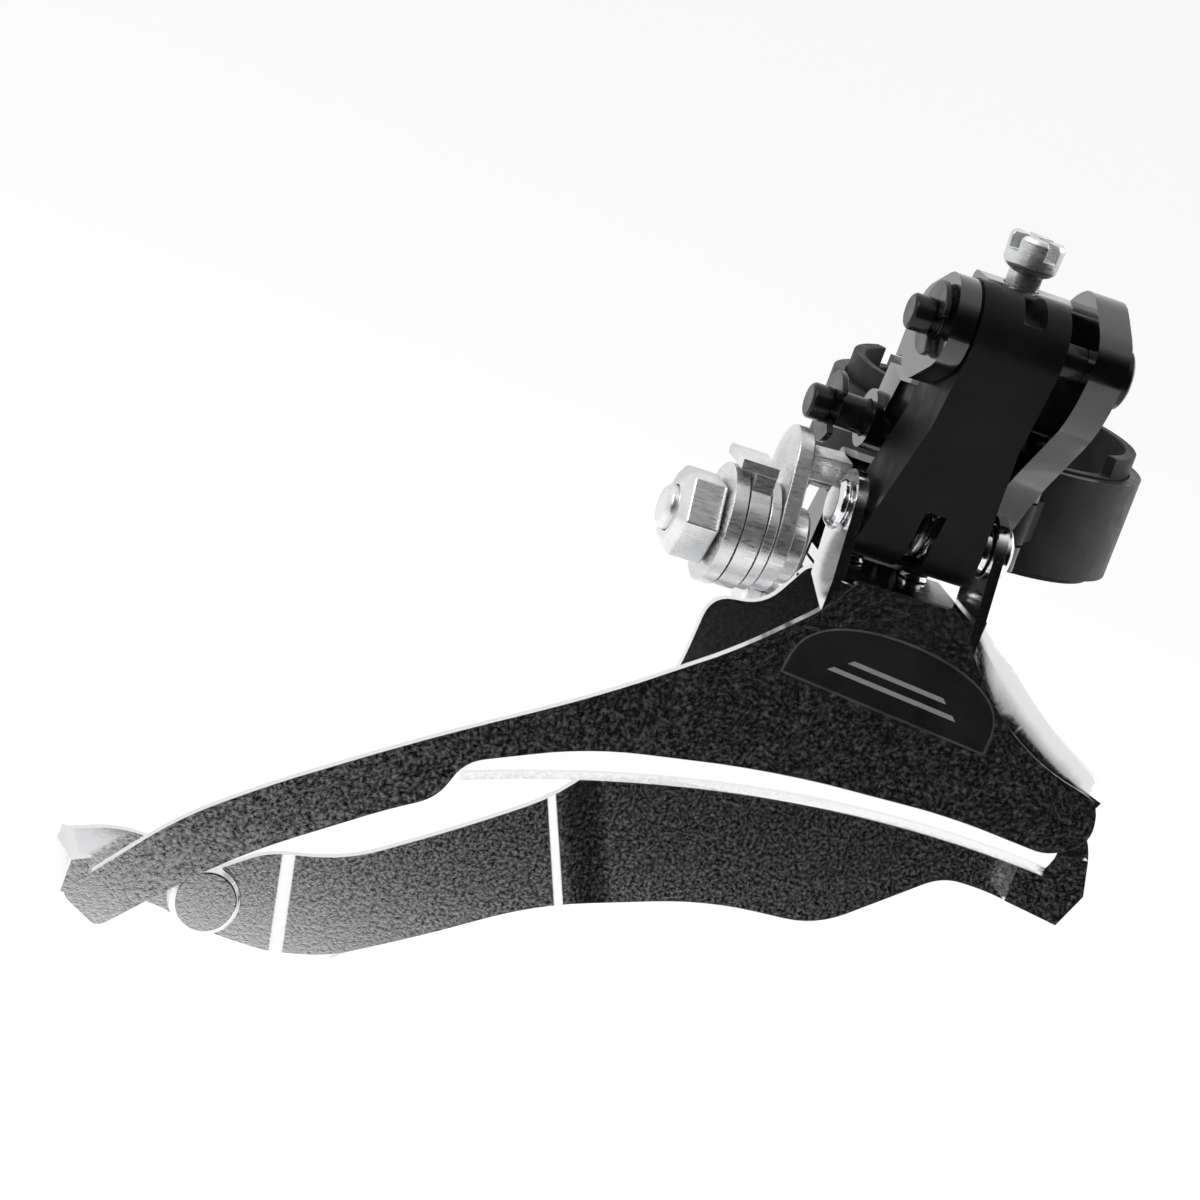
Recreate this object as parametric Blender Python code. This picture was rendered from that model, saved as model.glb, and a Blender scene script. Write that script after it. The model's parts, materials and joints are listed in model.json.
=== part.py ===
"""Front derailleur for a bicycle: clamp on the seat tube, four-pivot linkage and chain cage.

Frame: +Z runs up the seat tube's axis, +X points forward, -Y points outboard (to the chainrings).
The origin is the centre of the clamp.  Lengths below are in millimetres and are scaled on building.
"""
import math

import bmesh
import bpy
from mathutils import Vector

MM = 0.001

# Seat tube clamp
TUBE_R = 15.9
SHIM_T = 1.3
BAND_T = 1.4
BAND_H = 11.8
SHIM_LIP = 2.6
SHIM_INNER = TUBE_R + 0.05
SHIM_OUTER = SHIM_INNER + SHIM_T
BAND_INNER = SHIM_OUTER + 0.15
BAND_OUTER = BAND_INNER + BAND_T
LUG_REACH = 30.0
CLAMP_BOLT_Y = 24.6
HINGE_Y = -21.4
HINGE_X = -0.6
HINGE_R = 2.5

# Four-pivot linkage: pivots as (y, z), all axes along X
LINK_LENGTH = 24.0
REST_ANGLE = math.radians(15.5)
REST_DROP = (LINK_LENGTH * math.sin(REST_ANGLE), -LINK_LENGTH * math.cos(REST_ANGLE))
PIVOT_A = (-48.8, 22.6)                                        # outer link on the body
PIVOT_C = (-33.0, 7.6)                                         # inner link on the body
PIVOT_B = (PIVOT_A[0] + REST_DROP[0], PIVOT_A[1] + REST_DROP[1])   # outer link on the cage
PIVOT_D = (PIVOT_C[0] + REST_DROP[0], PIVOT_C[1] + REST_DROP[1])   # inner link on the cage
PIN_R = 2.0
HOLE_R = 2.15

# Limit screws as (x, y)
LOW_SCREW = (-15.0, -39.9)
HIGH_SCREW = (-15.0, -33.2)

# Chain cage
OUTER_FACE_Y = -48.6
PLATE_T = 1.2
INNER_FACE_Y = -37.0
EAR_LEFT_X = -24.9
EAR_RIGHT_X = -8.4

# Cable arm and anchor bolt
ANCHOR = (-39.0, -7.1)
ANCHOR_BOLT_R = 2.45

SLOTS = {
    "chrome_plate": ((0.80, 0.80, 0.82), 0.16, 1.0),
    "zinc_plate": ((0.66, 0.67, 0.68), 0.38, 1.0),
    "black_enamel": ((0.012, 0.012, 0.013), 0.14, 0.0),
    "black_satin": ((0.030, 0.030, 0.032), 0.45, 0.0),
    "black_plastic": ((0.018, 0.018, 0.019), 0.42, 0.0),
    "black_oxide": ((0.020, 0.020, 0.022), 0.30, 0.6),
    "spring_steel": ((0.55, 0.55, 0.56), 0.30, 1.0),
    "shim_plastic": ((0.045, 0.045, 0.048), 0.55, 0.0),
}


def clear_scene():
    for obj in list(bpy.data.objects):
        bpy.data.objects.remove(obj, do_unlink=True)


def make_material(name):
    colour, roughness, metallic = SLOTS[name]
    material = bpy.data.materials.new(name)
    material.use_nodes = True
    shader = material.node_tree.nodes["Principled BSDF"]
    shader.inputs["Base Color"].default_value = (*colour, 1.0)
    shader.inputs["Roughness"].default_value = roughness
    shader.inputs["Metallic"].default_value = metallic
    return material


MATERIALS = {}


def add_object(name, bm, slot):
    """Turn a bmesh in millimetres into an object in metres with outward normals."""
    bmesh.ops.scale(bm, vec=(MM, MM, MM), verts=bm.verts)
    bmesh.ops.recalc_face_normals(bm, faces=bm.faces)
    mesh = bpy.data.meshes.new(name)
    bm.to_mesh(mesh)
    bm.free()
    mesh.materials.append(MATERIALS[slot])
    obj = bpy.data.objects.new(name, mesh)
    bpy.context.scene.collection.objects.link(obj)
    return obj


def place(axis, a, b, along):
    """Map plane coordinates and a distance along the axis to x, y, z."""
    if axis == "X":
        return (along, a, b)
    if axis == "Y":
        return (a, along, b)
    return (a, b, along)


def prism(name, outline, axis, low, high, slot="black_enamel"):
    """Extrude an outline of (a, b) points along an axis from low to high."""
    bm = bmesh.new()
    lower = [bm.verts.new(place(axis, a, b, low)) for a, b in outline]
    upper = [bm.verts.new(place(axis, a, b, high)) for a, b in outline]
    bm.faces.new(lower)
    bm.faces.new(upper)
    count = len(outline)
    for i in range(count):
        j = (i + 1) % count
        bm.faces.new((lower[i], lower[j], upper[j], upper[i]))
    return add_object(name, bm, slot)


def circle(centre, radius, segments=32):
    return [(centre[0] + radius * math.cos(2 * math.pi * i / segments),
             centre[1] + radius * math.sin(2 * math.pi * i / segments)) for i in range(segments)]


def disc(name, axis, centre, radius, low, high, slot="black_enamel", segments=32):
    return prism(name, circle(centre, radius, segments), axis, low, high, slot)


def hull(points):
    """Convex outline of (a, b) points, anticlockwise."""
    points = sorted(set(points))

    def half(sequence):
        chain = []
        for p in sequence:
            while len(chain) > 1:
                ax, ay = chain[-1][0] - chain[-2][0], chain[-1][1] - chain[-2][1]
                bx, by = p[0] - chain[-1][0], p[1] - chain[-1][1]
                if ax * by - ay * bx > 1e-9:
                    break
                chain.pop()
            chain.append(p)
        return chain[:-1]

    return half(points) + half(points[::-1])


def capsule(p, q, r_p, r_q, segments=32):
    """Outline that wraps a circle at p and a circle at q."""
    return hull(circle(p, r_p, segments) + circle(q, r_q, segments))


def rounded(points, segments=5):
    """Round the corners of a closed outline; each point is (a, b, radius)."""
    outline = []
    count = len(points)
    for i in range(count):
        a, b, radius = points[i]
        here = Vector((a, b))
        before = Vector(points[i - 1][:2]) - here
        after = Vector(points[(i + 1) % count][:2]) - here
        if radius <= 0:
            outline.append((a, b))
            continue
        reach = min(radius, 0.45 * before.length, 0.45 * after.length)
        start = here + before.normalized() * reach
        end = here + after.normalized() * reach
        for k in range(segments + 1):
            t = k / segments
            p = start.lerp(here, t).lerp(here.lerp(end, t), t)
            outline.append((p.x, p.y))
    return outline


def lathe(name, axis, centre, profile, slot, segments=32):
    """Turn a profile of (along, radius) points, closed on the axis at both ends."""
    bm = bmesh.new()
    rings = []
    for along, radius in profile:
        ring = [bm.verts.new(place(axis, a, b, along)) for a, b in circle(centre, radius, segments)]
        rings.append(ring)
    for first, second in zip(rings, rings[1:]):
        for i in range(segments):
            j = (i + 1) % segments
            bm.faces.new((first[i], first[j], second[j], second[i]))
    bm.faces.new(rings[0])
    bm.faces.new(rings[-1])
    return add_object(name, bm, slot)


def arc_band(name, inner, outer, start_deg, end_deg, low, high, slot, steps=40):
    """Part of a ring about the seat tube's axis."""
    angles = [math.radians(start_deg + (end_deg - start_deg) * i / steps) for i in range(steps + 1)]
    outline = [(outer * math.cos(a), outer * math.sin(a)) for a in angles]
    outline += [(inner * math.cos(a), inner * math.sin(a)) for a in reversed(angles)]
    return prism(name, outline, "Z", low, high, slot)


def sheet(name, rows, thickness, slot):
    """Thick sheet through a grid of points; each row is a cross-section of the sheet."""
    points = [[Vector(p) for p in row] for row in rows]
    m, n = len(points), len(points[0])
    bm = bmesh.new()
    sides = []
    for sign in (0.5, -0.5):
        side = []
        for i in range(m):
            line = []
            for j in range(n):
                du = points[min(i + 1, m - 1)][j] - points[max(i - 1, 0)][j]
                dv = points[i][min(j + 1, n - 1)] - points[i][max(j - 1, 0)]
                normal = du.cross(dv).normalized()
                line.append(bm.verts.new(points[i][j] + normal * (sign * thickness)))
            side.append(line)
        sides.append(side)
    for side in sides:
        for i in range(m - 1):
            for j in range(n - 1):
                bm.faces.new((side[i][j], side[i + 1][j], side[i + 1][j + 1], side[i][j + 1]))
    front, back = sides
    for i in range(m - 1):
        for j in (0, n - 1):
            bm.faces.new((front[i][j], front[i + 1][j], back[i + 1][j], back[i][j]))
    for j in range(n - 1):
        for i in (0, m - 1):
            bm.faces.new((front[i][j], front[i][j + 1], back[i][j + 1], back[i][j]))
    return add_object(name, bm, slot)


def boolean(target, tool, operation):
    """Add an exact Boolean to the target and put its tool out of the render."""
    modifier = target.modifiers.new(operation.lower(), "BOOLEAN")
    modifier.operation = operation
    modifier.solver = "EXACT"
    modifier.object = tool
    tool.hide_render = True
    tool.display_type = "WIRE"
    return target


def join(target, *tools):
    for tool in tools:
        boolean(target, tool, "UNION")
    return target


def cut(target, *tools):
    for tool in tools:
        boolean(target, tool, "DIFFERENCE")
    return target


def along_link(start, distance, offset=0.0):
    """Point at a distance down a hanging link, offset outboard of its centre line."""
    s, c = math.sin(REST_ANGLE), math.cos(REST_ANGLE)
    return (start[0] + distance * s - offset * c, start[1] - distance * c - offset * s)


def build_clamp():
    """Two-piece clamp with its hinge pin, bolt, washer and nut, and the shim halves inside it."""
    half = BAND_H / 2
    fixed = arc_band("fixed_clamp_half", BAND_INNER, BAND_OUTER, 96, 256, -half, half, "black_satin")
    lug = prism("fixed_lug", [(-4.6, 17.6), (-1.4, 17.6), (-1.4, LUG_REACH), (-4.6, LUG_REACH)],
                "Z", -half + 0.8, half - 0.8)
    bolt_hole = disc("fixed_lug_hole", "X", (CLAMP_BOLT_Y, 0), 2.7, -12, 12)
    join(fixed, lug)
    cut(fixed, bolt_hole)

    band = arc_band("clamp_band", BAND_INNER, BAND_OUTER, -86, 84, -half, half, "black_satin")
    band_lug = prism("band_lug", [(1.4, 17.6), (4.2, 17.6), (4.2, LUG_REACH), (1.4, LUG_REACH)],
                     "Z", -half + 0.8, half - 0.8)
    knuckle = disc("band_knuckle", "Z", (HINGE_X, HINGE_Y), HINGE_R, -2.4, 2.4)
    strap = prism("band_knuckle_strap", [(-0.4, -18.0), (-0.4, -21.4), (1.9, -21.4), (4.0, -18.0)],
                  "Z", -2.4, 2.4)
    hinge_hole = disc("band_hinge_hole", "Z", (HINGE_X, HINGE_Y), 1.3, -9, 9)
    band_hole = disc("band_lug_hole", "X", (CLAMP_BOLT_Y, 0), 2.7, 0, 12)
    join(band, band_lug, strap, knuckle)
    cut(band, hinge_hole, band_hole)

    lathe("band_hinge_pin", "Z", (HINGE_X, HINGE_Y),
          [(-6.7, 1.7), (-6.0, 1.9), (-6.0, 1.15), (6.2, 1.15)], "black_oxide", 24)
    bolt_y = (CLAMP_BOLT_Y, 0)
    bolt = lathe("clamp_bolt", "X", bolt_y,
                 [(-9.8, 3.2), (-9.2, 4.2), (-6.1, 4.2), (-6.1, 2.45), (8.6, 2.45), (9.2, 2.0)],
                 "black_oxide")
    socket = prism("clamp_bolt_socket", circle(bolt_y, 2.3, 6), "X", -12.0, -7.4)
    cut(bolt, socket)
    washer = disc("clamp_bolt_washer", "X", bolt_y, 4.6, -5.85, -4.85, "zinc_plate")
    cut(washer, disc("clamp_washer_hole", "X", bolt_y, 2.7, -7, -4))
    nut = prism("clamp_nut", circle(bolt_y, 4.6, 6), "X", 4.45, 8.2, "zinc_plate")
    cut(nut, disc("clamp_nut_hole", "X", bolt_y, 2.55, 4, 9))

    for name, start, end in (("clamp_shim_rear", 93, 267), ("clamp_shim_front", -87, 87)):
        shim = arc_band(name, SHIM_INNER, SHIM_OUTER, start, end, -half - 1.0, half + SHIM_LIP,
                        "shim_plastic")
        for side, sign in (("low", -1), ("high", 1)):
            mid = 180 if start > 0 else 0
            centre = math.radians(mid + sign * 66)
            box = prism(f"{name}_{side}_relief",
                        [(math.cos(centre + da) * r, math.sin(centre + da) * r)
                         for r, da in ((14, -0.33), (21, -0.33), (21, 0.33), (14, 0.33))],
                        "Z", half + 0.3, half + SHIM_LIP + 2)
            cut(shim, box)


def build_body():
    """Black bracket: two ears on the upper outer pin, a web behind the link, and the clamp arm."""
    front_outline = rounded([(-43.6, 30.4, 4), (-53.8, 25.6, 5), (-51.8, 17.2, 5), (-40.4, 6.6, 3),
                             (-31.4, -5.6, 3), (-18.9, -5.8, 0), (-18.9, 5.8, 0), (-27.0, 12.0, 5),
                             (-33.4, 21.0, 6), (-37.4, 27.6, 4)])
    body = prism("body_bracket", front_outline, "X", -8.6, -4.8, "black_enamel")
    rear_ear = prism("rear_ear", capsule(PIVOT_A, (-44.4, 20.4), 5.3, 5.3), "X", -24.9, -22.5)
    rear_tie = prism("rear_tie", [(-42.7, 24.0), (-40.9, 16.6), (-38.6, 16.0), (-38.6, 23.0)],
                     "X", -24.9, -17.0)
    web = prism("body_web", rounded([(-42.8, 27.4, 1.5), (-42.6, 21.5, 2), (-40.2, 13.2, 2),
                                     (-36.4, 11.2, 2),
                                     (-29.6, 12.8, 1), (-29.6, 17.4, 1), (-36.4, 17.6, 0),
                                     (-36.4, 27.4, 1.5)]),
                "X", -19.4, -6.0)
    knuckle = disc("body_knuckle", "X", PIVOT_C, 3.3, -23.9, -12.6)
    gusset = prism("body_gusset", [(-37.4, 13.4), (-35.4, 8.2), (-30.6, 8.2), (-31.6, 14.0)],
                   "X", -23.0, -13.4)
    foot = arc_band("body_foot", BAND_OUTER + 0.2, BAND_OUTER + 2.4, 229, 256, -5.6, 5.6, "black_enamel")
    hinge_ears = []
    for side, sign in (("upper", 1), ("lower", -1)):
        low, high = sorted((sign * 2.7, sign * 5.6))
        ear = prism(f"hinge_{side}_ear", hull(circle((HINGE_X, HINGE_Y), 2.5, 24)
                                              + [(-5.2, -19.4), (-5.2, -24.6), (-3.0, -18.8)]),
                    "Z", low, high)
        hinge_ears.append(ear)
    join(body, rear_ear, rear_tie, web, knuckle, gusset, foot, *hinge_ears)
    pin_a_hole = disc("pin_a_hole", "X", PIVOT_A, HOLE_R, -30, 0)
    pin_c_hole = disc("pin_c_hole", "X", PIVOT_C, HOLE_R, -40, 0)
    hinge_hole = disc("body_hinge_hole", "Z", (HINGE_X, HINGE_Y), 1.3, -9, 9)
    low_hole = disc("low_screw_hole", "Z", LOW_SCREW, 2.05, 15, 40)
    high_hole = disc("high_screw_hole", "Z", HIGH_SCREW, 2.05, 11.4, 40)
    cut(body, pin_a_hole, pin_c_hole, hinge_hole, low_hole, high_hole)


def screw(name, centre, top, reach):
    """Limit screw with a cross-slotted head, point down."""
    obj = lathe(name, "Z", centre,
                [(top - reach, 1.2), (top - reach + 0.8, 1.9), (top - 4.0, 1.9), (top - 3.7, 2.5),
                 (top - 3.2, 3.0), (top - 0.5, 3.15), (top, 2.8)], "zinc_plate", 32)
    slots = []
    for index, angle in enumerate((0.4, 0.4 + math.pi / 2)):
        c, s = math.cos(angle), math.sin(angle)
        corners = [(5, 0.75), (-5, 0.75), (-5, -0.75), (5, -0.75)]
        outline = [(centre[0] + a * c - b * s, centre[1] + a * s + b * c) for a, b in corners]
        slots.append(prism(f"{name}_slot_{index}", outline, "Z", top - 1.9, top + 1))
    cut(obj, *slots)


def e_clip(name, centre, low, high, outer, turn):
    """Open retaining ring in a pin's groove."""
    start, span, steps = math.radians(turn + 35), math.radians(290), 28
    inner = PIN_R * 0.78 + 0.08
    angles = [start + span * i / steps for i in range(steps + 1)]
    outline = [(centre[0] + outer * math.cos(a), centre[1] + outer * math.sin(a)) for a in angles]
    outline += [(centre[0] + inner * math.cos(a), centre[1] + inner * math.sin(a)) for a in reversed(angles)]
    prism(name, outline, "X", low, high, "black_oxide")


def pin(name, centre, left, right, head_right, clip_at, slot, head_r=3.6):
    """Pivot pin: domed head at the front end and a clip groove near the rear end."""
    groove = PIN_R * 0.78
    profile = [(left, PIN_R - 0.3), (left + 0.3, PIN_R)]
    if clip_at is not None:
        profile += [(clip_at, PIN_R), (clip_at, groove), (clip_at + 0.9, groove), (clip_at + 0.9, PIN_R)]
    profile += [(right, PIN_R), (right, head_r), (head_right - 0.3, head_r), (head_right, head_r - 0.5)]
    lathe(name, "X", centre, profile, slot, 28)


def build_pins():
    pin("upper_outer_pin", PIVOT_A, -28.4, -4.55, -3.5, -26.05, "black_oxide", 3.3)
    e_clip("upper_outer_clip", PIVOT_A, -25.95, -25.25, 4.1, 200)
    pin("upper_inner_pin", PIVOT_C, -30.6, -4.55, -3.6, -28.35, "black_oxide", 3.2)
    e_clip("upper_inner_clip", PIVOT_C, -28.25, -27.55, 4.0, 180)
    for name, centre in (("lower_outer_pin", PIVOT_B), ("lower_inner_pin", PIVOT_D)):
        left = EAR_LEFT_X - 2.0 if name == "lower_outer_pin" else -28.6
        right = EAR_RIGHT_X + 0.85 if name == "lower_outer_pin" else -8.1
        lathe(name, "X", centre,
              [(left, 2.3), (left + 0.5, 2.8), (left + 1.1, 2.8), (left + 1.1, PIN_R), (right, PIN_R),
               (right, 3.0), (right + 0.7, 3.0), (right + 1.2, 2.2)], "chrome_plate", 28)


def build_outer_link():
    """Black moulded link, open at its inboard side, with the return spring inside."""
    link_profile = capsule(PIVOT_A, PIVOT_B, 5.5, 4.5, 40)
    link = prism("outer_link", link_profile, "X", -24.2, -10.1, "black_plastic")
    rear_taper = [(-26, 40), (-22.2, 40), (-22.2, 12), (-24.0, -2), (-24.3, -12), (-26, -12)]
    front_taper = [(-8, 40), (-12.2, 40), (-12.2, 12), (-10.3, -2), (-10.0, -12), (-8, -12)]
    cut(link, prism("link_taper_rear", rear_taper, "Y", -60, -30),
        prism("link_taper_front", front_taper, "Y", -60, -30))
    pocket_outline = capsule(along_link(PIVOT_A, 8, -3.2), along_link(PIVOT_A, 24.1, -0.3), 3.4, 3.7)
    pocket = prism("link_pocket", pocket_outline, "X", -21.4, -12.6)
    mouth_outline = [along_link(PIVOT_A, 5, -2.0), along_link(PIVOT_A, 24, 0.0),
                     along_link(PIVOT_A, 24, -9.0), along_link(PIVOT_A, 5, -9.0)]
    mouth = prism("link_mouth", mouth_outline, "X", -21.4, -12.6)
    notch = prism("link_notch", [(-56, 25.6), (-40, 25.6), (-40, 31), (-56, 31)], "X", -17.6, -15.0)
    slot = prism("link_slot", [(-50, -6), (-41.4, -6), (-44.6, 2.6), (-50, 2.6)], "X", -18.4, -16.0)
    holes = [disc("link_hole_a", "X", PIVOT_A, HOLE_R, -30, -5),
             disc("link_hole_b", "X", PIVOT_B, HOLE_R, -30, -5)]
    cut(link, pocket, mouth, notch, slot, *holes)
    bush = disc("link_bush_front", "X", PIVOT_B, 3.1, -9.95, -9.15, "chrome_plate", 28)
    cut(bush, disc("link_bush_hole", "X", PIVOT_B, HOLE_R, -12, -7))


def build_return_spring():
    """Torsion spring: coil round the lower outer pin, one leg up the link, one on the cage."""
    wire, coil_r, turns = 0.5, 2.7, 4.5
    start_x, end_x = -20.4, -14.2
    points = []
    points.append((start_x + 0.1, *along_link(PIVOT_A, 9.0, -3.0)))
    steps = int(turns * 16)
    begin = math.radians(20)
    for i in range(steps + 1):
        t = i / steps
        angle = begin - 2 * math.pi * turns * t
        x = start_x + (end_x - start_x) * t
        points.append((x, PIVOT_B[0] + coil_r * math.cos(angle), PIVOT_B[1] + coil_r * math.sin(angle)))
    curve = bpy.data.curves.new("return_spring", "CURVE")
    curve.dimensions = "3D"
    curve.bevel_depth = wire * MM
    curve.bevel_resolution = 2
    curve.use_fill_caps = True
    spline = curve.splines.new("POLY")
    spline.points.add(len(points) - 1)
    for place_on, p in zip(spline.points, points):
        place_on.co = (p[0] * MM, p[1] * MM, p[2] * MM, 1.0)
    curve.materials.append(MATERIALS["spring_steel"])
    obj = bpy.data.objects.new("return_spring", curve)
    bpy.context.scene.collection.objects.link(obj)


def build_inner_link():
    """Steel link on the frame side: a web joining a rear and a front cheek."""
    web = prism("inner_link", [along_link(PIVOT_C, 4.6, 0.9), along_link(PIVOT_C, 20.6, 0.9),
                               along_link(PIVOT_C, 20.6, -0.9), along_link(PIVOT_C, 4.6, -0.9)],
                "X", -24.3, -10.9, "black_enamel")
    rear = prism("inner_link_rear", capsule(along_link(PIVOT_C, 6.2), PIVOT_D, 1.9, 3.8), "X", -24.3, -22.7)
    front = prism("inner_link_front", capsule(PIVOT_C, PIVOT_D, 4.0, 3.8), "X", -12.3, -10.7)
    join(web, rear, front)
    cut(web, disc("inner_link_hole_c", "X", PIVOT_C, HOLE_R, -30, -5),
        disc("inner_link_hole_d", "X", PIVOT_D, HOLE_R, -30, -5),
        disc("inner_link_rivet_hole", "X", along_link(PIVOT_C, 8.6), 1.1, -30, -15),
        disc("inner_link_rivet_pocket", "X", along_link(PIVOT_C, 8.6), 2.1, -22.65, -21.2),
        prism("inner_link_top_gap", [along_link(PIVOT_C, 0, 6), along_link(PIVOT_C, 4.55, 6),
                                     along_link(PIVOT_C, 4.55, -6), along_link(PIVOT_C, 0, -6)],
              "X", -30, -12.4))


def build_cable_arm():
    """Zinc-plated arm: ear on the upper inner pin, shelf, and a wall that holds the anchor bolt."""
    ear = prism("cable_arm", rounded([(-37.0, 11.2, 2.5), (-29.2, 11.6, 3), (-27.4, 1.0, 3),
                                      (-29.2, -3.4, 3),
                                      (-33.0, -3.4, 3), (-37.4, 2.4, 2)]), "X", -26.7, -24.7, "zinc_plate")
    shelf = prism("cable_arm_shelf", [(-24.7, 3.3), (-24.7, 1.6), (-29.5, 1.9), (-31.7, 0.4),
                                      (-31.7, -5), (-29.8, -5), (-29.8, -0.6), (-28.6, 0.4),
                                      (-26.7, 0.9)][::-1],
                  "Y", -38.1, -32.9)
    shelf_top = prism("cable_arm_shelf_top", [(-24.7, 3.3), (-31.0, 2.9), (-31.7, 0.0), (-24.7, 0.4)],
                      "Y", -38.1, -32.9)
    wall = prism("cable_arm_wall", capsule(ANCHOR, (-36.6, 0.4), 5.6, 4.8), "X", -31.7, -29.8)
    join(ear, shelf, shelf_top, wall)
    cut(ear, disc("arm_pin_hole", "X", PIVOT_C, HOLE_R, -40, -20),
        disc("arm_anchor_hole", "X", ANCHOR, ANCHOR_BOLT_R + 0.1, -40, -25),
        disc("arm_rivet_hole", "X", along_link(PIVOT_C, 8.6), 1.1, -40, -20))
    lathe("cable_arm_rivet", "X", along_link(PIVOT_C, 8.6),
          [(-27.6, 1.4), (-27.2, 1.9), (-26.85, 1.9), (-26.85, 1.0), (-22.5, 1.0), (-22.5, 1.8),
           (-21.7, 1.4)],
          "zinc_plate", 24)


def build_anchor():
    """Cable anchor: bolt, nut, washer, clamp plate with a curled tab, and ring."""
    r = ANCHOR_BOLT_R
    lathe("anchor_bolt", "X", ANCHOR,
          [(-43.4, r - 0.5), (-42.9, r), (-29.55, r), (-29.55, 4.2), (-28.0, 4.2), (-27.6, 3.6)],
          "zinc_plate")
    nut = lathe("anchor_nut", "X", ANCHOR, [(-42.4, 3.9), (-41.5, 5.2), (-38.0, 5.2), (-37.7, 4.9)],
                "zinc_plate", 6)
    cut(nut, disc("anchor_nut_hole", "X", ANCHOR, r + 0.12, -45, -35))
    rings = (("anchor_washer", -37.5, -35.9, 6.6), ("cable_clamp_plate", -35.65, -33.4, 6.4),
             ("anchor_ring", -33.15, -31.95, 6.1))
    for name, low, high, radius in rings:
        ring = disc(name, "X", ANCHOR, radius, low, high, "zinc_plate")
        if name == "cable_clamp_plate":
            y, z = ANCHOR
            tab = prism("clamp_plate_tab", [(y - 4.0, z + 3.6), (y + 4.0, z + 3.6), (y + 3.4, z + 7.8),
                                            (y - 3.4, z + 7.8)], "X", low, high)
            curl = prism("clamp_plate_curl", [(y - 3.6, z + 7.0), (y + 3.6, z + 7.0), (y + 3.4, z + 8.1),
                                              (y - 3.4, z + 8.1)], "X", low - 1.9, high)
            join(ring, tab, curl)
        cut(ring, disc(f"{name}_hole", "X", ANCHOR, r + 0.15, -45, -30))


def outer_plate_outline():
    """Outline of the outer plate's flat face as (x, z, corner radius), tail first."""
    return [(-92.3, -64.2, 1.2), (-87.4, -66.8, 1.2), (-76.4, -55.3, 8), (-62.6, -45.6, 8),
            (-57.6, -42.6, 3),
            (-56.2, -38.0, 4), (-44.0, -32.6, 20), (-24.0, -29.0, 30), (-3.5, -28.2, 20), (8.4, -29.2, 2),
            (12.4, -26.4, 2), (11.6, -21.9, 4), (4.6, -20.2, 4), (-2.0, -16.6, 6), (-7.0, -11.6, 4),
            (-10.0, -7.6, 2), (-11.2, -6.6, 1), (-22.6, -6.6, 1), (-25.0, -10.4, 3), (-32.2, -17.4, 8),
            (-44.8, -26.8, 12), (-61.4, -37.1, 10), (-75.2, -46.6, 10), (-83.0, -52.8, 8)]


def build_outer_cage_plate():
    """Outer plate with its bottom flange, ears, and the bridges to the inner plate."""
    face_y = OUTER_FACE_Y
    plate = prism("outer_cage_plate", rounded(outer_plate_outline(), 6), "Y", face_y, face_y + PLATE_T,
                  "chrome_plate")
    rows = []
    for i in range(25):
        x = -55.4 + i * (9.4 + 55.4) / 24
        edge = -28.2 - (x + 3.5) ** 2 / 292.0
        rows.append([(x, face_y + 0.7, edge + 1.2), (x, face_y + 1.0, edge - 0.4),
                     (x, face_y + 1.9, edge - 1.5),
                     (x, face_y + 2.6, edge - 2.1), (x, face_y + 2.7, edge - 3.2)])
    flange = sheet("outer_flange", rows, 0.9, "chrome_plate")
    ears = []
    for side, x in (("left", EAR_LEFT_X), ("right", EAR_RIGHT_X)):
        outline = hull(circle(PIVOT_B, 4.1, 28) + [(face_y + 0.05, -11.0), (face_y + 0.05, -7.5),
                                                   (-40.2, -9.0)])
        ears.append(prism(f"outer_ear_{side}", outline, "X", x - 0.6, x + 0.6))
    bridge = prism("outer_top_bridge", [(-24.5, face_y + 0.1), (-24.5, -33.2), (-9.4, -33.2),
                                        (-9.4, face_y + 0.1)],
                   "Z", -8.4, -7.2)
    tail = prism("tail_bridge", [(-92.2, face_y + 0.3), (-91.0, face_y + 0.3), (-91.0, -36.2),
                                 (-92.2, -36.2)],
                 "Z", -64.0, -60.6)
    tongue = prism("tail_tongue", rounded([(-92.2, -64.0, 1), (-92.2, -61.0, 2), (-86.0, -58.8, 3),
                                           (-71.6, -60.4, 2), (-71.6, -66.4, 2), (-79.0, -66.4, 4)]),
                   "Y", -36.9, -35.7)
    link_strip = prism("tail_tip", [(-92.3, -64.1), (-92.3, -60.5), (-90.3, -59.6), (-89.9, -64.4)],
                       "Y", face_y + 0.02, face_y + 1.19)
    front_rows = []
    for i in range(13):
        t = i / 12
        x, z = -8.0 + 19.8 * t, -9.0 - 13.6 * t - 2.2 * math.sin(math.pi * t)
        out = 1.6 + 0.9 * math.sin(math.pi * t)
        nx, nz = 0.57, 0.82
        front_rows.append([(x - nx * 1.6, face_y + 0.6, z - nz * 1.6),
                           (x + nx * 0.4, face_y + 1.2, z + nz * 0.4),
                           (x + nx * out, face_y + 2.8, z + nz * out), (x + nx * out, -43.0, z + nz * out),
                           (x + nx * out, -38.6, z + nz * out)])
    front_bridge = sheet("outer_front_bridge", front_rows, 1.0, "chrome_plate")
    join(plate, flange, *ears, bridge, link_strip, tail, tongue, front_bridge)
    cut(plate, disc("outer_ear_holes", "X", PIVOT_B, HOLE_R, -30, -5),
        disc("tail_rivet_hole_outer", "Y", (-75.4, -63.4), 1.7, -38, -30),
        disc("bridge_rivet_hole_a", "Z", (-20.6, -35.3), 1.3, -12, 0),
        disc("bridge_rivet_hole_b", "Z", (-13.2, -35.3), 1.3, -12, 0))


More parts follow.
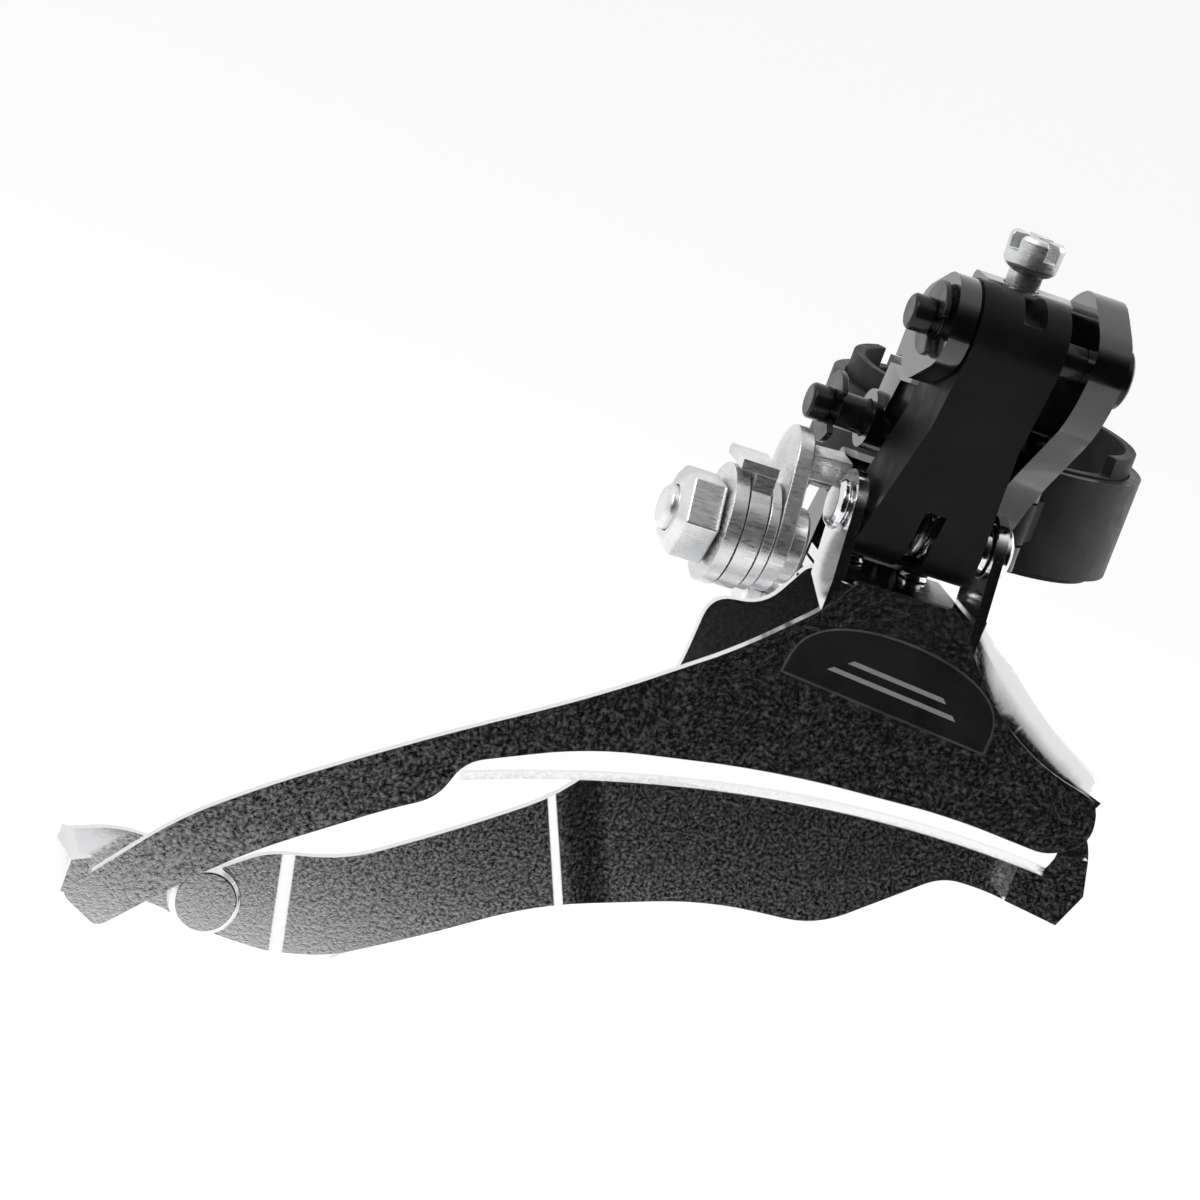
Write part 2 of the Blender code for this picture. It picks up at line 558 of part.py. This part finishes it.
def inner_plate_outline():
    """Outline of the inner plate as (x, z, corner radius), tail first."""
    return [(-70.6, -56.6, 2), (-81.4, -64.6, 2), (-78.2, -66.2, 2), (-74.2, -66.9, 2), (-67.0, -67.2, 2),
            (-60.4, -65.8, 8), (-51.4, -60.6, 10), (-40.6, -53.6, 12), (-22.8, -47.6, 20),
            (-10.0, -46.8, 4),
            (-3.6, -41.6, 4), (1.6, -37.4, 3), (6.4, -37.4, 3), (14.6, -38.6, 3), (17.4, -34.6, 3),
            (16.4, -29.0, 3),
            (9.0, -22.0, 4), (-8.6, -13.0, 4), (-10.4, -8.7, 0), (-25.4, -8.7, 1), (-28.6, -14.4, 3),
            (-34.4, -14.9, 3),
            (-35.0, -26.0, 8), (-40.6, -39.8, 8), (-52.0, -48.2, 10), (-62.0, -54.8, 8)]


def build_inner_cage_plate():
    """Inner plate with its bottom flange, ears, and the tabs that meet the bridges."""
    y = INNER_FACE_Y
    plate = prism("inner_cage_plate", rounded(inner_plate_outline(), 6), "Y", y - 1.5, y - 0.3,
                  "chrome_plate")
    ears = []
    for side, low, high in (("rear", -26.3, -25.1), ("front", -10.2, -9.0)):
        outline = hull(circle(PIVOT_D, 3.9, 28) + [(y - 1.0, -19.5), (y - 1.0, -9.9)])
        ears.append(prism(f"inner_ear_{side}", outline, "X", low, high))
    flange_rows = []
    for i in range(21):
        x = -60.0 + 50.0 * i / 20
        edge = -47.2 - (x + 14.0) ** 2 / 116.0
        flange_rows.append([(x, y - 0.9, edge + 1.6), (x, y - 0.7, edge + 0.3),
                            (x, y + 0.3, edge - 0.7), (x, y + 1.4, edge - 0.9)])
    flange = sheet("inner_flange", flange_rows, 0.9, "chrome_plate")
    top = prism("inner_bridge_tab", [(-24.6, y - 1.4), (-24.6, -33.2), (-10.4, -33.2), (-10.4, y - 1.4)],
                "Z", -9.9, -8.7)
    front = prism("inner_front_tab", [(8.0, -30.6), (8.0, -37.0), (14.6, -38.0), (16.4, -34.0),
                                      (15.4, -30.0)],
                  "Y", y - 5.0, y - 1.4)
    join(plate, flange, *ears, top, front)
    cut(plate, disc("tab_rivet_hole_a", "Z", (-20.6, -35.3), 1.3, -12, 0),
        disc("tab_rivet_hole_b", "Z", (-13.2, -35.3), 1.3, -12, 0),
        disc("inner_ear_holes", "X", PIVOT_D, HOLE_R, -30, -5),
        disc("tail_rivet_hole_inner", "Y", (-75.4, -63.4), 1.7, -42, -34))


def build_rivets():
    """Tail rivet and the two rivets that hold the plates together under the top bridge."""
    lathe("tail_rivet", "Y", (-75.4, -63.4),
          [(-40.0, 3.4), (-39.4, 3.9), (-38.65, 3.9), (-38.65, 1.55), (-35.55, 1.55), (-35.55, 3.0),
           (-34.9, 2.4)],
          "chrome_plate", 36)
    for index, x in enumerate((-20.6, -13.2)):
        lathe(f"bridge_rivet_{index + 1}", "Z", (x, -35.3),
              [(-10.7, 1.6), (-10.05, 1.8), (-10.05, 1.15), (-7.05, 1.15), (-7.05, 1.8), (-6.5, 1.5)],
              "chrome_plate", 20)


def main():
    clear_scene()
    for slot in SLOTS:
        MATERIALS[slot] = make_material(slot)
    build_clamp()
    build_body()
    build_pins()
    screw("low_limit_screw", LOW_SCREW, 33.0, 12.0)
    screw("high_limit_screw", HIGH_SCREW, 23.2, 10.0)
    build_outer_link()
    build_return_spring()
    build_inner_link()
    build_cable_arm()
    build_anchor()
    build_outer_cage_plate()
    build_inner_cage_plate()
    build_rivets()


main()
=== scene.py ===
"""Studio view of the front derailleur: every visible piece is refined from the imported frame."""
import json
import math

import bmesh
import bpy
from mathutils import Matrix, Vector


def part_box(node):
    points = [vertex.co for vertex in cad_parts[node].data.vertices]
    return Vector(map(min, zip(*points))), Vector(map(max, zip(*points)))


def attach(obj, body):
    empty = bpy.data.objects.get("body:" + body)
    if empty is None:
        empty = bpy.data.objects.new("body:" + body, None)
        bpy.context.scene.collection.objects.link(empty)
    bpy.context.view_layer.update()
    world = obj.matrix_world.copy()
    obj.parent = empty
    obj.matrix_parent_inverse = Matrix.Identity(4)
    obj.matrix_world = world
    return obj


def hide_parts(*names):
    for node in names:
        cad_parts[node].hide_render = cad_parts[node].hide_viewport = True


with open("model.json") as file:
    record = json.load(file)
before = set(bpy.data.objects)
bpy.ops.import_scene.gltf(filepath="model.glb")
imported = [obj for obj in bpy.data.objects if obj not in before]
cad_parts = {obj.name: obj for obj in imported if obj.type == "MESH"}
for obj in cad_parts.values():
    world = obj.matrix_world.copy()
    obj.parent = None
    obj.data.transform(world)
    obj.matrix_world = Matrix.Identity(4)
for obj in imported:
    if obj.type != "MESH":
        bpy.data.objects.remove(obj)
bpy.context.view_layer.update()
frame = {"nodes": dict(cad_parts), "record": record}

MM = 0.001
NODES = frame["nodes"]
BODIES = frame["record"]["behaviour"]["bodies"]
BODY_OF = {node: body for body, members in BODIES.items() for node in members}
SLOT_OF = {entry["node"]: entry["material_slot"] for entry in frame["record"]["subparts"]}


# ---------------------------------------------------------------- materials

CHROME_GRAIN = 2600             # features per metre
FINE_RELIEF = 0.00003           # metres


class Shader:
    """Small helper that builds a Principled material from procedural textures."""

    def __init__(self, name, colour, roughness, metallic):
        self.material = bpy.data.materials.new(name)
        self.material.use_nodes = True
        self.tree = self.material.node_tree
        self.bsdf = self.tree.nodes["Principled BSDF"]
        self.bsdf.inputs["Base Color"].default_value = (*colour, 1.0)
        self.bsdf.inputs["Roughness"].default_value = roughness
        self.bsdf.inputs["Metallic"].default_value = metallic
        self.coords = self.tree.nodes.new("ShaderNodeTexCoord")
        self.normal = None

    def mapped(self, stretch):
        """Object coordinates in metres, stretched along each axis."""
        mapping = self.tree.nodes.new("ShaderNodeMapping")
        mapping.inputs["Scale"].default_value = stretch
        self.tree.links.new(self.coords.outputs["Object"], mapping.inputs["Vector"])
        return mapping.outputs["Vector"]

    def noise(self, scale, detail=3.0, stretch=(1, 1, 1), roughness=0.55):
        """Noise with a scale in features per metre."""
        texture = self.tree.nodes.new("ShaderNodeTexNoise")
        texture.inputs["Scale"].default_value = scale
        texture.inputs["Detail"].default_value = detail
        texture.inputs["Roughness"].default_value = roughness
        self.tree.links.new(self.mapped(stretch), texture.inputs["Vector"])
        return texture.outputs["Fac"]

    def vary_roughness(self, value, low, high):
        """Spread the middle of a noise over a range of roughness."""
        node = self.tree.nodes.new("ShaderNodeMapRange")
        node.inputs["From Min"].default_value = 0.3
        node.inputs["From Max"].default_value = 0.7
        node.inputs["To Min"].default_value = low
        node.inputs["To Max"].default_value = high
        self.tree.links.new(value, node.inputs["Value"])
        self.tree.links.new(node.outputs["Result"], self.bsdf.inputs["Roughness"])

    def vary_colour(self, value, first, second):
        """Blend two colours over the middle of a noise."""
        ramp = self.tree.nodes.new("ShaderNodeValToRGB")
        ramp.color_ramp.elements[0].position = 0.35
        ramp.color_ramp.elements[0].color = (*first, 1)
        ramp.color_ramp.elements[1].position = 0.65
        ramp.color_ramp.elements[1].color = (*second, 1)
        self.tree.links.new(value, ramp.inputs["Fac"])
        self.tree.links.new(ramp.outputs["Color"], self.bsdf.inputs["Base Color"])

    def step(self, direction, start, width):
        """Smooth rise from 0 to 1 along a direction in object space."""
        dot = self.tree.nodes.new("ShaderNodeVectorMath")
        dot.operation = "DOT_PRODUCT"
        dot.inputs[1].default_value = direction
        self.tree.links.new(self.coords.outputs["Object"], dot.inputs[0])
        node = self.tree.nodes.new("ShaderNodeMapRange")
        node.interpolation_type = "SMOOTHSTEP"
        node.inputs["From Min"].default_value = start
        node.inputs["From Max"].default_value = start + width
        self.tree.links.new(dot.outputs["Value"], node.inputs["Value"])
        return node.outputs["Result"]

    def bump(self, value, strength, distance):
        """Relief of a height in metres, added on top of earlier relief."""
        node = self.tree.nodes.new("ShaderNodeBump")
        node.inputs["Strength"].default_value = strength
        node.inputs["Distance"].default_value = distance
        self.tree.links.new(value, node.inputs["Height"])
        if self.normal is not None:
            self.tree.links.new(self.normal, node.inputs["Normal"])
        self.normal = node.outputs["Normal"]
        self.tree.links.new(self.normal, self.bsdf.inputs["Normal"])


def chrome_material(name="chrome_plate", ridges=()):
    """Chrome over tumbled steel: mirror bright, fine sparkling grain, soft pressed ridges."""
    s = Shader(name, (0.80, 0.80, 0.81), 0.10, 1.0)
    s.vary_roughness(s.noise(CHROME_GRAIN, 3), 0.06, 0.19)
    s.bump(s.noise(CHROME_GRAIN, 3, roughness=0.7), 0.20, FINE_RELIEF)
    for direction, start, width, height in ridges:
        s.bump(s.step(direction, start, width), 1.0, height)
    return s.material


def zinc_material():
    """Zinc plate: pale and dull, with rolling marks and faint blotches."""
    s = Shader("zinc_plate", (0.66, 0.67, 0.68), 0.32, 0.9)
    s.vary_colour(s.noise(160, 4), (0.56, 0.57, 0.58), (0.80, 0.80, 0.80))
    s.vary_roughness(s.noise(700, 4, (1, 1, 6)), 0.20, 0.46)
    s.bump(s.noise(900, 4, (1, 1, 5)), 0.35, FINE_RELIEF)
    return s.material


def enamel_material():
    """Glossy black enamel with a slight flow in its surface."""
    s = Shader("black_enamel", (0.0025, 0.0025, 0.003), 0.14, 0.0)
    s.bsdf.inputs["Coat Weight"].default_value = 0.6
    s.bsdf.inputs["Coat Roughness"].default_value = 0.08
    s.vary_roughness(s.noise(300, 3), 0.10, 0.26)
    s.bump(s.noise(220, 2), 0.25, 0.00006)
    return s.material


def satin_material():
    """Satin black powder coat with a fine pebble."""
    s = Shader("black_satin", (0.010, 0.010, 0.011), 0.42, 0.0)
    s.bsdf.inputs["Specular IOR Level"].default_value = 0.22
    s.vary_colour(s.noise(240, 3), (0.006, 0.006, 0.0065), (0.014, 0.014, 0.015))
    s.vary_roughness(s.noise(500, 3), 0.36, 0.52)
    s.bump(s.noise(1800, 3), 0.45, FINE_RELIEF)
    return s.material


def plastic_material(name="black_plastic", base=(0.0035, 0.0035, 0.0038), low=0.34, high=0.50):
    """Moulded black nylon with an eroded-tool texture."""
    s = Shader(name, base, low, 0.0)
    s.bsdf.inputs["Specular IOR Level"].default_value = 0.10
    s.vary_colour(s.noise(130, 3), tuple(c * 0.7 for c in base), tuple(c * 1.5 for c in base))
    s.vary_roughness(s.noise(420, 3), low, high)
    s.bump(s.noise(2200, 3), 0.40, FINE_RELIEF)
    return s.material


def oxide_material():
    """Blackened steel of pins and clips."""
    s = Shader("black_oxide", (0.012, 0.012, 0.013), 0.25, 0.55)
    s.vary_roughness(s.noise(500, 3), 0.14, 0.34)
    s.bump(s.noise(900, 3), 0.3, FINE_RELIEF)
    return s.material


def spring_material():
    """Drawn spring wire, grey and slightly mottled."""
    s = Shader("spring_steel", (0.52, 0.52, 0.53), 0.3, 1.0)
    s.vary_colour(s.noise(300, 3), (0.30, 0.30, 0.31), (0.62, 0.62, 0.63))
    s.vary_roughness(s.noise(900, 3), 0.20, 0.42)
    s.bump(s.noise(1400, 3), 0.3, FINE_RELIEF)
    return s.material


MATERIALS = {
    "chrome_plate": chrome_material(),
    "zinc_plate": zinc_material(),
    "black_enamel": enamel_material(),
    "black_satin": satin_material(),
    "black_plastic": plastic_material(),
    "black_oxide": oxide_material(),
    "spring_steel": spring_material(),
    "shim_plastic": plastic_material("shim_plastic", (0.012, 0.012, 0.013), 0.42, 0.60),
}


# ---------------------------------------------------------------- pieces

EDGE_ANGLE = math.radians(32.0)     # edges sharper than this are rounded
FLAT_ANGLE = math.radians(0.8)      # facets within this angle are one flat face
MERGE_DISTANCE = 0.000002


def finish_piece(name, mesh, node):
    """Make a mesh into a piece that rides on its node's body and stands for that node."""
    piece = bpy.data.objects.new(name, mesh)
    bpy.context.scene.collection.objects.link(piece)
    slot = SLOT_OF[node]
    mesh.materials.clear()
    mesh.materials.append(MATERIALS[slot])
    mesh.shade_smooth()
    mesh.set_sharp_from_angle(angle=EDGE_ANGLE)
    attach(piece, BODY_OF[node])
    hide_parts(node)
    return piece


def refine(node, bevel, segments):
    """Copy a frame node's mesh, merge its flat faces and round its edges by a width in mm."""
    bm = bmesh.new()
    bm.from_mesh(NODES[node].data)
    bmesh.ops.remove_doubles(bm, verts=bm.verts, dist=MERGE_DISTANCE)
    bmesh.ops.dissolve_limit(bm, angle_limit=FLAT_ANGLE, verts=bm.verts, edges=bm.edges)
    mesh = bpy.data.meshes.new(f"{node}_fine")
    bm.to_mesh(mesh)
    bm.free()
    piece = finish_piece(f"{node}_fine", mesh, node)
    modifier = piece.modifiers.new("edge", "BEVEL")
    modifier.width = bevel * MM
    modifier.segments = segments
    modifier.limit_method = "ANGLE"
    modifier.angle_limit = EDGE_ANGLE
    modifier.harden_normals = True
    modifier.use_clamp_overlap = True
    return piece


# Edge widths in mm, and how many steps round each edge, where they differ from the usual
SMALL_BEVEL = 0.15
SMALL_SEGMENTS = 3
BEVELS = {
    "outer_cage_plate": 0.38,
    "inner_cage_plate": 0.38,
    "outer_link": 1.3,
    "body_bracket": 1.5,
    "clamp_band": 0.35,
    "fixed_clamp_half": 0.35,
    "cable_arm": 0.35,
    "inner_link": 0.3,
    "anchor_nut": 0.25,
}

SEGMENTS = {"outer_link": 6, "body_bracket": 6, "outer_cage_plate": 4, "inner_cage_plate": 4}

# Pressed ridges: direction across the ridge, where it starts, how wide and how high, in metres
INNER_RIDGES = (
    ((0.915, 0, 0.403), -0.0568, 0.0011, 0.00022),
    ((0.915, 0, 0.403), -0.0554, 0.0050, -0.00032),
    ((0.979, 0, 0.203), -0.0790, 0.0016, 0.00042),
)
RIDGED = {"inner_cage_plate": chrome_material("chrome_pressed", ridges=INNER_RIDGES)}

for node_name in NODES:
    refined = refine(node_name, BEVELS.get(node_name, SMALL_BEVEL), SEGMENTS.get(node_name, SMALL_SEGMENTS))
    if node_name in RIDGED:
        refined.data.materials[0] = RIDGED[node_name]


# ---------------------------------------------------------------- badge

# Badge on the outer plate, in metres: middle of its lower edge, half length, height and tilt
DECAL_X, DECAL_Z = -0.0150, -0.0196
DECAL_HALF, DECAL_RISE = 0.0124, 0.0082
DECAL_TILT = math.radians(-5.0)
KEYLINE = 0.00025
FACE_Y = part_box("outer_cage_plate")[0][1]

# Bars: height above the badge's lower edge and half length, then their own height and end slant
BARS = ((0.0022, 0.0078), (0.0036, 0.0060))
BAR_HEIGHT, BAR_SLANT = 0.0005, 0.0006

# How far a layer stands in front of the plate's foremost point, and how far it reaches behind it
RIM_STAND, FIELD_STAND, BAR_STAND = 0.00001, 0.00003, 0.00005
LAYER_DEPTH, BAR_DEPTH = 0.0002, 0.0001


def extrude_outline(name, outline, low_y, high_y):
    """Mesh of a flat outline of (x, z) points in metres between two y planes."""
    bm = bmesh.new()
    lower = [bm.verts.new((x, low_y, z)) for x, z in outline]
    upper = [bm.verts.new((x, high_y, z)) for x, z in outline]
    bm.faces.new(lower)
    bm.faces.new(upper)
    for i, vert in enumerate(lower):
        j = (i + 1) % len(lower)
        bm.faces.new((vert, lower[j], upper[j], upper[i]))
    bmesh.ops.recalc_face_normals(bm, faces=bm.faces)
    mesh = bpy.data.meshes.new(name)
    bm.to_mesh(mesh)
    bm.free()
    return mesh


def on_plate(points):
    """Turn points measured along and up from the badge's lower edge into x and z."""
    c, n = math.cos(DECAL_TILT), math.sin(DECAL_TILT)
    return [(DECAL_X + a * c - b * n, DECAL_Z + a * n + b * c) for a, b in points]


def decal_outline(inset=0.0, steps=28):
    """Lens with a straight lower edge and an arched top."""
    half, rise = DECAL_HALF - inset, DECAL_RISE - 2 * inset
    turns = [math.pi * i / steps for i in range(steps + 1)]
    return on_plate([(half * math.cos(t), inset + rise * math.sin(t) ** 0.62) for t in turns])


def add_decal():
    """Plain printed badge: black field with a thin grey keyline and two silver bars."""
    ink = plastic_material("decal_black", (0.008, 0.008, 0.009), 0.30, 0.40)
    silver = Shader("decal_silver", (0.34, 0.34, 0.35), 0.35, 0.6)
    silver.vary_roughness(silver.noise(2500, 3), 0.28, 0.45)
    silver.bump(silver.noise(3000, 3), 0.2, 0.00001)
    edge = plastic_material("decal_edge", (0.05, 0.05, 0.052), 0.4, 0.6)
    layers = [("decal_rim", decal_outline(), RIM_STAND, LAYER_DEPTH, edge),
              ("decal_field", decal_outline(KEYLINE), FIELD_STAND, LAYER_DEPTH, ink)]
    for index, (low, reach) in enumerate(BARS):
        high, short = low + BAR_HEIGHT, reach - BAR_SLANT
        outline = on_plate([(-reach, low), (reach, low), (short, high), (-short, high)])
        layers.append((f"decal_bar_{index}", outline, BAR_STAND, BAR_DEPTH, silver.material))
    for name, outline, stand, depth, material in layers:
        mesh = extrude_outline(name, outline, FACE_Y - stand, FACE_Y + depth)
        mesh.materials.append(material)
        layer = bpy.data.objects.new(name, mesh)
        bpy.context.scene.collection.objects.link(layer)
        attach(layer, "cage")


add_decal()


# ---------------------------------------------------------------- studio

def stage_plane(name, centre, size, facing, material, hidden=False):
    """Flat card that faces a direction; a hidden one shows only in reflections."""
    bpy.ops.mesh.primitive_plane_add(size=1.0)
    card = bpy.context.object
    card.name = name
    turn = Vector((0, 0, 1)).rotation_difference(Vector(facing).normalized()).to_matrix().to_4x4()
    spread = Matrix.Diagonal((size[0], size[1], 1, 1))
    card.data.transform(Matrix.Translation(Vector(centre)) @ turn @ spread)
    card.data.materials.append(material)
    card.visible_camera = not hidden
    card.visible_shadow = not hidden
    card.visible_diffuse = not hidden


def plain(name, colour, glow=0.0):
    """Matt paint without a shine, which may glow a little."""
    material = bpy.data.materials.new(name)
    material.use_nodes = True
    shader = material.node_tree.nodes["Principled BSDF"]
    shader.inputs["Base Color"].default_value = (*colour, 1)
    shader.inputs["Roughness"].default_value = 0.9
    shader.inputs["Specular IOR Level"].default_value = 0.0
    shader.inputs["Emission Color"].default_value = (1, 1, 1, 1)
    shader.inputs["Emission Strength"].default_value = glow
    return material


FLOOR_Z = -0.30
FLOOR_SIZE = (14, 14)
stage_plane("floor", (0, 0, FLOOR_Z), FLOOR_SIZE, (0, 0, 1),
            plain("floor_paint", (0.93, 0.93, 0.93), glow=0.22))

# Card that the flat outboard faces mirror, which makes them dark
CARD_DIRECTION = Vector((0.26, -0.94, -0.10)).normalized()
CARD_DISTANCE = 0.8
CARD_SIZE = (1.5, 0.9)
OBJECT_CENTRE = Vector((-0.035, -0.03, -0.02))
stage_plane("dark_card", OBJECT_CENTRE + CARD_DIRECTION * CARD_DISTANCE, CARD_SIZE, -CARD_DIRECTION,
            plain("dark_card_paint", (0.004, 0.004, 0.004)), hidden=True)


def area_light(name, place, size, power):
    """Soft rectangular light aimed at the object."""
    data = bpy.data.lights.new(name, "AREA")
    data.shape = "RECTANGLE"
    data.size, data.size_y = size
    data.energy = power
    light = bpy.data.objects.new(name, data)
    bpy.context.scene.collection.objects.link(light)
    light.location = place
    light.rotation_euler = (OBJECT_CENTRE - Vector(place)).to_track_quat("-Z", "Y").to_euler()


area_light("key", (-0.6, -0.5, 0.9), (0.5, 0.5), 5.0)
area_light("rim", (0.9, 0.3, 0.5), (0.5, 0.8), 4.0)


def studio_world():
    """White room, dark on its -Y side for reflections and light, and plain white to the camera."""
    world = bpy.data.worlds.new("studio")
    world.use_nodes = True
    tree = world.node_tree
    background = tree.nodes["Background"]
    coords = tree.nodes.new("ShaderNodeTexCoord")
    split = tree.nodes.new("ShaderNodeSeparateXYZ")
    ramp = tree.nodes.new("ShaderNodeValToRGB")
    shift = tree.nodes.new("ShaderNodeMapRange")
    path = tree.nodes.new("ShaderNodeLightPath")
    mix = tree.nodes.new("ShaderNodeMix")
    mix.data_type = "RGBA"
    shift.inputs["From Min"].default_value = -1.0
    elements = ramp.color_ramp.elements
    elements[0].position, elements[0].color = 0.10, (0.02, 0.02, 0.02, 1)
    elements[1].position, elements[1].color = 0.34, (0.95, 0.95, 0.95, 1)
    elements.new(0.20).color = (0.25, 0.25, 0.25, 1)
    tree.links.new(coords.outputs["Generated"], split.inputs["Vector"])
    tree.links.new(split.outputs["Y"], shift.inputs["Value"])
    tree.links.new(shift.outputs["Result"], ramp.inputs["Fac"])
    tree.links.new(path.outputs["Is Camera Ray"], mix.inputs["Factor"])
    tree.links.new(ramp.outputs["Color"], mix.inputs["A"])
    mix.inputs["B"].default_value = (1, 1, 1, 1)
    tree.links.new(mix.outputs["Result"], background.inputs["Color"])
    background.inputs["Strength"].default_value = 1.0
    bpy.context.scene.world = world


studio_world()


# ---------------------------------------------------------------- camera

AZIMUTH, ELEVATION, ROLL = math.radians(15.0), math.radians(12.0), math.radians(20.6)
CAMERA_PLACE = Vector((-0.1977, -0.6051, 0.1055))
BACK = Vector((-math.sin(AZIMUTH) * math.cos(ELEVATION),
               -math.cos(AZIMUTH) * math.cos(ELEVATION), math.sin(ELEVATION)))
LEVEL = Vector((math.cos(AZIMUTH), -math.sin(AZIMUTH), 0))
RISE = BACK.cross(LEVEL)
RIGHT = LEVEL * math.cos(ROLL) + RISE * math.sin(ROLL)
UP = RISE * math.cos(ROLL) - LEVEL * math.sin(ROLL)

camera_data = bpy.data.cameras.new("camera")
camera_data.sensor_width = 36.0
camera_data.lens = 168.3
camera_data.clip_start = 0.01
camera = bpy.data.objects.new("camera", camera_data)
bpy.context.scene.collection.objects.link(camera)
turned = Matrix((RIGHT, UP, BACK)).transposed().to_4x4()
camera.matrix_world = Matrix.Translation(CAMERA_PLACE) @ turned
bpy.context.scene.camera = camera
bpy.context.scene.view_settings.view_transform = "Standard"
